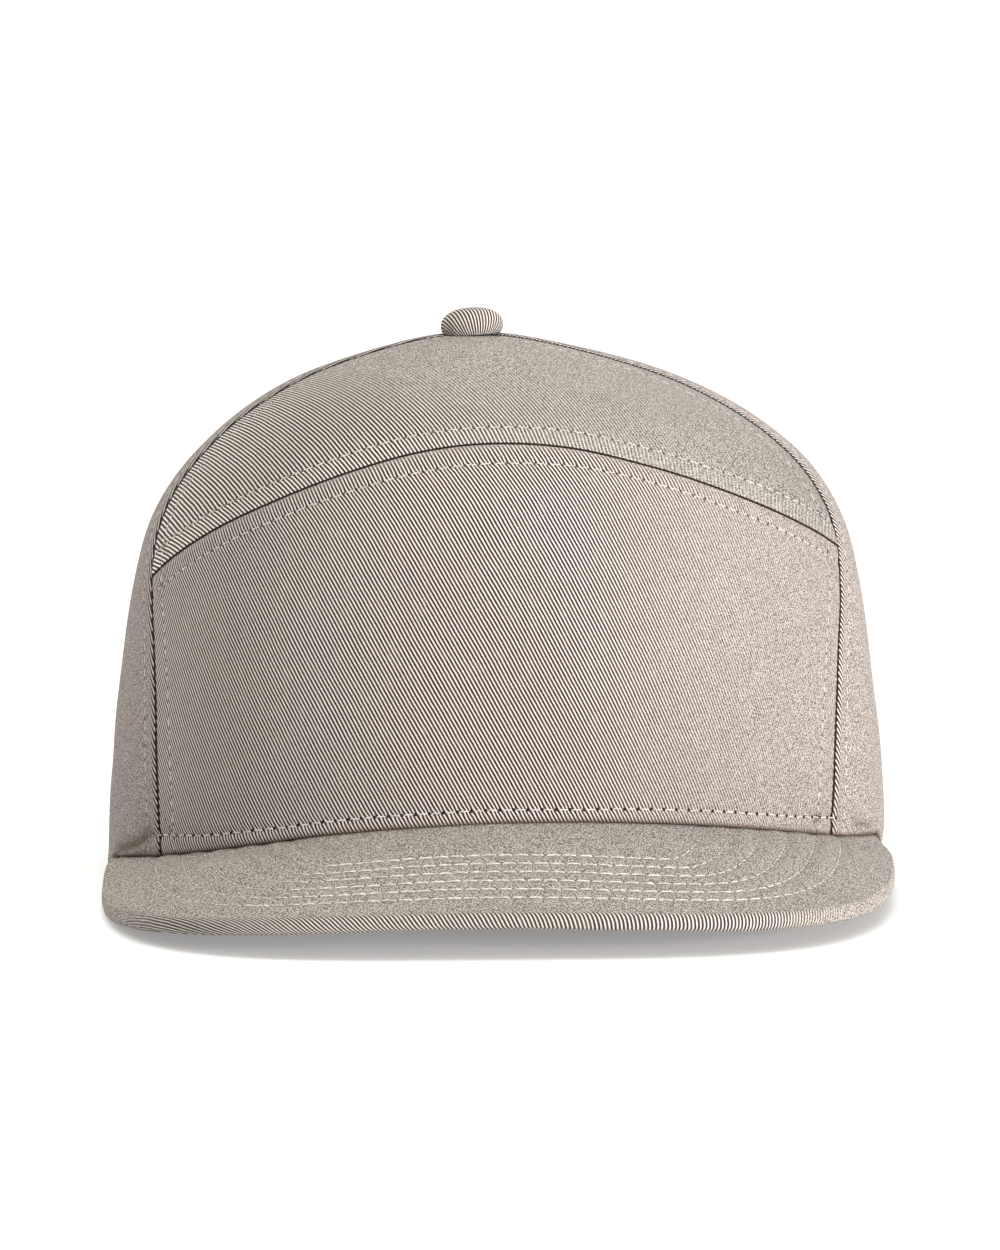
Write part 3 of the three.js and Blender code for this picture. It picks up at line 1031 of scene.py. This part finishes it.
def billEdge(share, setback=0.0):
    end = math.acos(((bill['middleY'] - bill['cornerY']) / bill['reach']) ** (bill['squareness'] / 2))
    turn = -end + 2 * end * share
    x = (bill['halfWidth'] - setback) * soften(np.sin(turn), bill['squareness'])
    y = bill['middleY'] - (bill['reach'] - setback) * soften(np.cos(turn), bill['squareness'])
    tuck = bill['tuck'] * ease(y, bill['tuckFrom'], bill['cornerY'] - bill['tuckFrom'])
    return np.stack([bill['middleX'] + x - np.sign(x) * tuck, y], -1)


def billInner(share):
    azimuth = bill['cornerAzimuth'] * (2 * share - 1)
    return crownPoint(azimuth, rimLevel(azimuth), bill['margin'])[..., :2]


def evenShares(count):
    # shares round the bill's edge with even steps between them
    share = np.linspace(0, 1, 3000)
    run = runAlong(billEdge(share))
    return np.interp(np.linspace(0, run[-1], count), run, share)


billOutline = billEdge(evenShares(260))


def billStitchPaths():
    # on each line from the crown to the edge, the places that lie at a row's distance from the edge
    share = evenShares(420)
    inner, outer = billInner(share), billEdge(share)
    out = np.linspace(0, 1, 110)
    plan = inner[:, None] + (outer - inner)[:, None] * out[None, :, None]
    away, _ = distanceTo(billOutline, plan)
    crownEdge = bill['margin'] / np.maximum(np.linalg.norm(outer - inner, axis=1), bill['margin'])
    for index, name in enumerate(billRowNames):
        distance = billRows['first'] + billRows['apart'] * index
        found = []
        for ray in range(len(share)):
            place = np.interp(-distance, -away[ray], out)
            if away[ray, 0] > distance and place > crownEdge[ray]:
                found.append(inner[ray] + (outer[ray] - inner[ray]) * place)
        flat = np.array(found)
        path = np.column_stack([flat, billTop(flat[:, 0], flat[:, 1])])
        rows[name] = {**stitchKinds['bill'], 'path': pathEvery(path, pathStep)}


billStitchPaths()


def polar(plan):
    return np.degrees(np.arctan2(plan[..., 0], -plan[..., 1])), np.hypot(plan[..., 0], plan[..., 1])


def fromRim(plan):
    # how far outside the crown's rim each place is, and how far away the rim is
    azimuth = np.linspace(-90, 90, 300)
    rim = crownPoint(azimuth, rimLevel(azimuth), billCrease['inside'])[:, :2]
    turn, reach = polar(plan)
    return reach - np.interp(turn, *polar(rim)), distanceTo(rim, plan)[0]


def billShape(section, rowNames):
    # a cover before and after it is shaped, the rows near by, its places outside the rim, and its cloth
    # spread flat in plan with how far it goes on round the edge
    share = evenShares(300)
    inner, outer = billInner(share), billEdge(share)
    outward = unit(outer - inner)
    length = np.linalg.norm(outer - inner, axis=1)
    outPart, outStep, down = (np.array(column) for column in zip(*section))
    reach = outPart[:, None] * length + outStep[:, None]
    plan = inner + outward * np.clip(reach, 0, None)[..., None]
    x, y = plan[..., 0], plan[..., 1]
    base = np.stack([x, y, billTop(x, y)], -1)
    edgeAway, _ = distanceTo(billOutline, plan)
    upright = np.zeros(base.shape) + np.array([0.0, 0.0, 1.0])
    found, pull = nearestRow(rowNames, base, upright, (2, share.size // 2), 1)
    onTop = (down == 0)[:, None] + 0 * edgeAway
    found['rowAway'] = np.where(onTop > 0, found['rowAway'], far)
    wave = (edgeAway - billRows['first']) / billRows['apart'] * 2 * math.pi + math.pi
    inRows = ease(edgeAway, quilt['from'], quilt['over']) * (1 - ease(edgeAway, quilt['to'], quilt['over']))
    swell = quilt['height'] * np.cos(wave) * inRows * bool(rowNames)
    outside, rimAway = fromRim(plan)
    curl = ease(outside, billCurl['outFrom'], billCurl['outOver']) * (x < 0)
    curl = curl * billCurl['rise'] * np.exp(-(((y - billCurl['y']) / billCurl['width']) ** 2))
    face = base.copy()
    face[..., 2] += onTop * (swell - pull + lumps(base, billLumps)) + curl - down[:, None]
    # the cloth is flat in plan, and goes on round the edge
    steps = np.linalg.norm(np.diff(face, axis=0), axis=-1)
    around = np.concatenate([np.zeros((1, share.size)), np.cumsum(steps, 0)])
    spread = inner + outward * around[..., None]
    pastEdge = np.clip(around - length + edgeBend, 0, None)
    return base, face, found, outside, rimAway, spread, pastEdge


def billSheet(name, node, section, rowNames):
    # the section is a closed loop of places: share of the way out, millimetres out and down
    base, face, found, outside, rimAway, spread, pastEdge = billShape(section, rowNames)
    x = base[..., 0]
    straightened = spread[..., 0] * (billWeave['wide'] + billWeave['widen'] * spread[..., 0])
    weave = weavePlace(straightened, spread[..., 1], billWeave['ribs'])
    weave[..., 0] += np.interp(x, billWeave['turnAt'], billWeave['turn']) * pastEdge * mm
    hidden = outside < 0
    crease = ease(np.abs(x), billCrease['from'], billCrease['over'])
    crease = billCrease['middleWidth'] + (billCrease['width'] - billCrease['middleWidth']) * crease
    shade = billCrease['shade'] * (1 - ease(rimAway, 0, billCrease['shadeOver']))
    edgeRibs = ribShowOn(base, edgeShow) * ease(x, billWeave['endsFrom'], billWeave['endsOver'])
    edgeRibs = np.where(pastEdge > billWeave['edgeFrom'], edgeRibs, 0)
    # the edge is painted lighter towards +X and darker towards -X
    edgePaintedLight = billWeave['edgePaintedLightSlope'] * ease(pastEdge, 0.0, billWeave['edgePaintedLightOver'])
    values = {
        'rowAway': found['rowAway'],
        'rowAlong': found['rowAlong'] + 0 * x,
        'rowHole': found['rowHole'] + 0 * x,
        'seamAway': np.where(hidden, 0.5, 0.5 + rimAway / crease),
        'seamAlong': 0 * x,
        'paintedCreaseShade': np.where(hidden, billCrease['hiddenShade'], shade),
        'ribShow': np.maximum(edgeRibs, billWeave['show']),
        'tone': (billWeave['tone'] + billWeave['toneSlope'] * x / shadeAt) * (1 + edgePaintedLight * x / shadeAt),
        'weave': weave,
    }
    bm, column, line = gridMesh(face.shape[1], face.shape[0])
    moveVerts(bm.verts, toFrame(face[line, column]))
    clothData(bm, {key: value[line, column] for key, value in values.items()})
    # the loop of the section closes on itself, and its two ends are filled
    bmesh.ops.remove_doubles(bm, verts=bm.verts, dist=0.00002)
    rims = [edge for edge in bm.edges if edge.is_boundary]
    bmesh.ops.holes_fill(bm, edges=rims, sides=0)
    bmesh.ops.recalc_face_normals(bm, faces=bm.faces)
    surfaces[name] = BVHTree.FromBMesh(bm)
    addPiece(name, smoothMesh(bm, name), billTwill, node)


# the top cover bends round the edge and ends under the board, and the under cover lies inside it
topCover = {
    'edge': {'from': -edgeBend, 'out': edgeBend, 'middle': 1.8, 'half': 1.8, 'turns': (8, 158, 16)},
    'end': [
        (1.0, -1.5, 3.1), (1.0, -2.2, 2.65), (1.0, -4.0, 2.6), (0.5, 0.0, 2.6), (0.0, 0.0, 2.6),
        (0.0, 0.0, 1.3), (0.0, 0.0, 0.0),
    ],
}
underCover = {
    'start': [(0.0, 0.0, 2.7), (0.5, 0.0, 2.7), (1.0, -3.0, 2.7), (1.0, -2.0, 2.75)],
    'edge': {'from': -1.75, 'out': 0.5, 'middle': 3.3, 'half': 0.5, 'turns': (0, 180, 9)},
    'end': [(0.0, 0.0, 3.2), (0.0, 0.0, 2.7)],
}


def flatPart(edge, down, shares):
    return [(share, edge['from'] * share, down) for share in shares]


def bentPart(edge):
    turns = [math.radians(degrees) for degrees in np.linspace(*edge['turns'])]
    across = [edge['from'] + edge['out'] * math.sin(turn) for turn in turns]
    return [(1.0, out, edge['middle'] - edge['half'] * math.cos(turn)) for out, turn in zip(across, turns)]


topEdge, underEdge = topCover['edge'], underCover['edge']
topSection = flatPart(topEdge, 0.0, np.linspace(0, 1, 78)) + bentPart(topEdge) + topCover['end']
underSection = underCover['start'] + bentPart(underEdge)
underSection += flatPart(underEdge, 3.8, np.linspace(1, 0, 40)[1:]) + underCover['end']
billSheet('billTop', 'bill_top', topSection, billRowNames)
billSheet('billUnderside', 'bill_underside', underSection, [])
print('bill made')


# the covered button, turned from its profile
button = {
    'radius': 7.6,
    'baseRadius': 6.4,
    'height': 6.4,
    'belly': 0.36,
    'tilt': 3.0,
    'lift': -0.25,
    'pleats': 15,
    'pleatDepth': 0.16,
    'pleatsFrom': 5.0,
    'pleatsTo': 1.6,
    'ribs': 76.0,
    'show': 1.0,
    # painted light: the button is a tenth lighter than the front
    'tone': 1.1,
    'shadowHeight': 0.4,
    'underside': [(0.0, 0.35), (4.5, 0.3)],
    'flatness': 0.8,
    'shoulder': 1.05,
    'sides': 60,
}


def buttonProfile(belly):
    # distances out and heights, from the middle of the underside round the belly to the top
    base, radius, rise = button['baseRadius'], button['radius'], button['height'] - belly
    low = [step / 6 * math.pi / 2 for step in range(1, 6)]
    high = [step / 18 * math.pi / 2 for step in range(18)]
    profile = button['underside'] + [(base, 0.0)]
    profile += [(base + (radius - base) * math.sin(turn), belly * (1 - math.cos(turn))) for turn in low]
    for turn in high:
        height = belly + rise * math.sin(turn) ** button['shoulder']
        profile.append((radius * math.cos(turn) ** button['flatness'], height))
    return profile + [(0.0, button['height'])]


def buildButton():
    belly = button['height'] * button['belly']
    profile = buttonProfile(belly)
    bm = bmesh.new()
    verts = [bm.verts.new((radius, 0, height)) for radius, height in profile]
    line = [bm.edges.new(pair) for pair in zip(verts, verts[1:])]
    bmesh.ops.spin(
        bm, geom=verts + line, axis=(0, 0, 1), cent=(0, 0, 0),
        steps=button['sides'], angle=2 * math.pi, use_merge=True,
    )
    bmesh.ops.remove_doubles(bm, verts=bm.verts, dist=0.01)
    bmesh.ops.recalc_face_normals(bm, faces=bm.faces)
    profile = np.array(profile)
    run = runAlong(profile)
    weave = []
    for vertex in bm.verts:
        # the cloth is spread evenly from the top, and gathered in small pleats under the belly
        radius, turn = math.hypot(vertex.co.x, vertex.co.y), math.atan2(vertex.co.y, vertex.co.x)
        onProfile = np.abs(profile - (radius, vertex.co.z)).sum(1).argmin()
        spread = run[-1] - run[onProfile]
        weave.append((spread * math.cos(turn), spread * math.sin(turn)))
        low = max(0.0, 1 - vertex.co.z / (belly * button['pleatsTo'])) * (radius > button['pleatsFrom'])
        swell = 1 - button['pleatDepth'] / button['radius'] * low * (1 + math.sin(button['pleats'] * turn))
        vertex.co.x *= swell
        vertex.co.y *= swell
    weave = np.array(weave)
    values = {key: np.zeros(len(weave)) for key in clothValues}
    # a shadow is painted round the foot of the button
    low = np.array([vertex.co.z for vertex in bm.verts]) / button['shadowHeight']
    values.update(rowAway=0 * low + far, seamAway=low)
    values.update(ribShow=0 * low + button['show'], tone=0 * low + button['tone'])
    clothData(bm, {**values, 'weave': weavePlace(weave[:, 0], weave[:, 1], button['ribs'])})
    apex = crownSurface(0.0, 11.0)
    seat = Vector(toFrame(apex + np.array([0, 0, button['lift']])))
    tilt = Matrix.Rotation(math.radians(-button['tilt']), 4, 'Y')
    bmesh.ops.transform(bm, matrix=Matrix.Translation(seat) @ tilt @ Matrix.Scale(mm, 4), verts=bm.verts)
    addPiece('topButton', smoothMesh(bm, 'topButton'), crownTwill, 'top_button')


buildButton()
print('button covered')


# stitches: short bent threads whose ends go down into the cloth
stitch = {
    'sides': 6,
    'jitter': 0.15,
    'turnJitter': 0.06,
    'endsThinner': 0.45,
    'shortest': 0.4,
    'longer': 0.64,
    # along the thread, its radius and its height there
    'rings': [
        (-0.5, 0.5, -1.7), (-0.43, 0.9, -0.5), (-0.25, 1.0, 0.1),
        (0.25, 1.0, 0.1), (0.43, 0.9, -0.5), (0.5, 0.5, -1.7),
    ],
}


def stitchTemplate():
    # one thread along X from -0.5 to 0.5, with unit radius
    bm = bmesh.new()
    made = []
    for place, radius, height in stitch['rings']:
        turn = Matrix.Translation((place, 0, height)) @ Matrix.Rotation(math.radians(90), 4, 'Y')
        ring = bmesh.ops.create_circle(bm, segments=stitch['sides'], radius=radius, matrix=turn)
        made.append(ring['verts'])
    for first, second in zip(made, made[1:]):
        pair = first + second
        between = [edge for edge in bm.edges if all(end in pair for end in edge.verts)]
        bmesh.ops.bridge_loops(bm, edges=between)
    bmesh.ops.holes_fill(bm, edges=[edge for edge in bm.edges if edge.is_boundary], sides=0)
    bmesh.ops.recalc_face_normals(bm, faces=bm.faces)
    points = np.array([vertex.co[:] for vertex in bm.verts])
    bm.verts.index_update()
    faces = [[vertex.index for vertex in face.verts] for face in bm.faces]
    bm.free()
    return points, faces


def onCloth(point, names):
    # the nearest place on the named pieces, and the way out of the cloth there
    best = None
    for name in names:
        place, normal, _, distance = surfaces[name].find_nearest(point)
        if place is not None and (best is None or distance < best[2]):
            best = (place, normal, distance)
    return best[0], best[1]


def layStitches(name, rowPieces, material):
    points, faces = stitchTemplate()
    allPoints, allFaces = [], []
    random = np.random.default_rng(7)
    for rowName, pieces in rowPieces.items():
        row = rows[rowName]
        path = toFrame(row['path'])
        run = runAlong(row['path'])
        at = lambda place: Vector(placeOn(path, run, place))
        for index in range(int(run[-1] / row['pitch'])):
            middle = (index + 0.5) * row['pitch']
            half = row['pitch'] * row['span'] / 2
            start, _ = onCloth(at(middle - half), pieces)
            end, _ = onCloth(at(middle + half), pieces)
            _, normal = onCloth(at(middle), pieces)
            forward = (end - start).normalized()
            side = normal.cross(forward).normalized()
            up = forward.cross(side)
            # where a row of the bill turns back, its threads are drawn down into the cloth
            proud = row['aside'] + (1 - row['aside']) * abs(forward.x) ** 2
            nearEnd = 1 - min(1.0, min(middle, run[-1] - middle) / row['endFade'])
            proud *= 1 - stitch['endsThinner'] * nearEnd
            size = row['thread'] * proud * mm
            rise = row['rise'] * (2 * proud - 1)
            centre = (start + end) / 2 + up * size * (rise + random.normal() * stitch['jitter'])
            forward = (forward + side * random.normal() * stitch['turnJitter']).normalized()
            reach = (end - start).length * (stitch['shortest'] + stitch['longer'] * proud)
            matrix = np.array([forward * reach, side * size, up * size])
            allFaces += [[corner + len(allPoints) * len(points) for corner in face] for face in faces]
            allPoints.append(points @ matrix + np.array(centre))
    mesh = bpy.data.meshes.new(name)
    mesh.from_pydata(np.concatenate(allPoints).tolist(), [], allFaces)
    mesh.update()
    mesh.shade_smooth()
    addPiece(name, mesh, material)
    print('stitches in', name, len(allPoints))


layStitches('crownStitches', rowPieces, crownThread)
layStitches('billStitches', {row: ['billTop'] for row in billRowNames}, crownThread)


# the floor, the light and the camera
studio = {
    'floor': paint(230, 230, 230),
    'world': (1.0, 0.98, 0.93, 1.0),
    'worldStrength': 0.7,
    'floorGlow': 0.28,
    'floorSize': 12.0,
    'floorRisesFrom': 1.5,
    'floorRise': 0.9,
    'aim': (0, 0.02, 0.06),
}
lights = [
    {'name': 'key', 'at': (1.41, -1.39, 0.23), 'size': 0.5, 'power': 49.5, 'colour': (1.0, 0.98, 1.0)},
    {'name': 'left', 'at': (-1.21, 0.23, 1.64), 'size': 1.2, 'power': 7.5, 'colour': (1.0, 0.99, 0.94)},
    {'name': 'overhead', 'at': (0.0, -0.15, 2.05), 'size': 1.6, 'power': 22, 'colour': (0.98, 1.0, 0.99)},
]
view = {
    'distance': 2200.0,
    'scale': 4.11,  # pixels to a millimetre at the target, in the photograph
    'frameHeight': 1250.0,
    'elevation': 6.4,
    'yaw': 0.33,
    'roll': -0.5,
    'target': (0.85, crown['centreY'], 57.9),
    'sensor': 36.0,
}


def buildFloor():
    bench = Bench('paleFloor')
    material = bench.finish({
        'Base Color': studio['floor'],
        'Roughness': 0.9,
        'Specular IOR Level': 0.1,
        'Emission Color': studio['floor'],
        'Emission Strength': studio['floorGlow'],
    })
    bm = bmesh.new()
    bmesh.ops.create_grid(bm, x_segments=1, y_segments=40, size=studio['floorSize'] / 2)
    for vertex in bm.verts:
        beyond = max(0.0, vertex.co.y - studio['floorRisesFrom'])
        vertex.co.z = beyond**2 * studio['floorRise']
    bmesh.ops.recalc_face_normals(bm, faces=bm.faces)
    mesh = smoothMesh(bm, 'floor')
    mesh.materials.append(material)
    floor = addObject('floor', mesh)


def buildLights():
    aim = Vector(studio['aim'])
    for light in lights:
        data = bpy.data.lights.new(light['name'], 'AREA')
        data.energy = light['power']
        data.size = light['size']
        data.color = light['colour']
        lamp = addObject(light['name'], data)
        lamp.location = light['at']
        lamp.rotation_euler = (aim - lamp.location).to_track_quat('-Z', 'Y').to_euler()
    world = bpy.data.worlds.new('paleRoom')
    world.use_nodes = True
    world.node_tree.nodes['Background'].inputs[0].default_value = studio['world']
    world.node_tree.nodes['Background'].inputs[1].default_value = studio['worldStrength']
    bpy.context.scene.world = world
    bpy.context.scene.view_settings.view_transform = 'Standard'


def buildCamera():
    elevation, yaw, roll = (math.radians(view[key]) for key in ('elevation', 'yaw', 'roll'))
    level = math.cos(elevation)
    back = Vector((math.sin(yaw) * level, -math.cos(yaw) * level, math.sin(elevation)))
    turn = back.to_track_quat('Z', 'Y').to_matrix().to_4x4()
    data = bpy.data.cameras.new('camera')
    data.sensor_width = view['sensor']
    data.lens = view['scale'] * view['distance'] * view['sensor'] / view['frameHeight']
    data.clip_end = 50
    camera = addObject('camera', data)
    place = (Vector(view['target']) + back * view['distance']) * mm
    camera.matrix_world = Matrix.Translation(place) @ turn @ Matrix.Rotation(roll, 4, 'Z')
    bpy.context.scene.camera = camera


buildFloor()
buildLights()
buildCamera()
print('studio set')
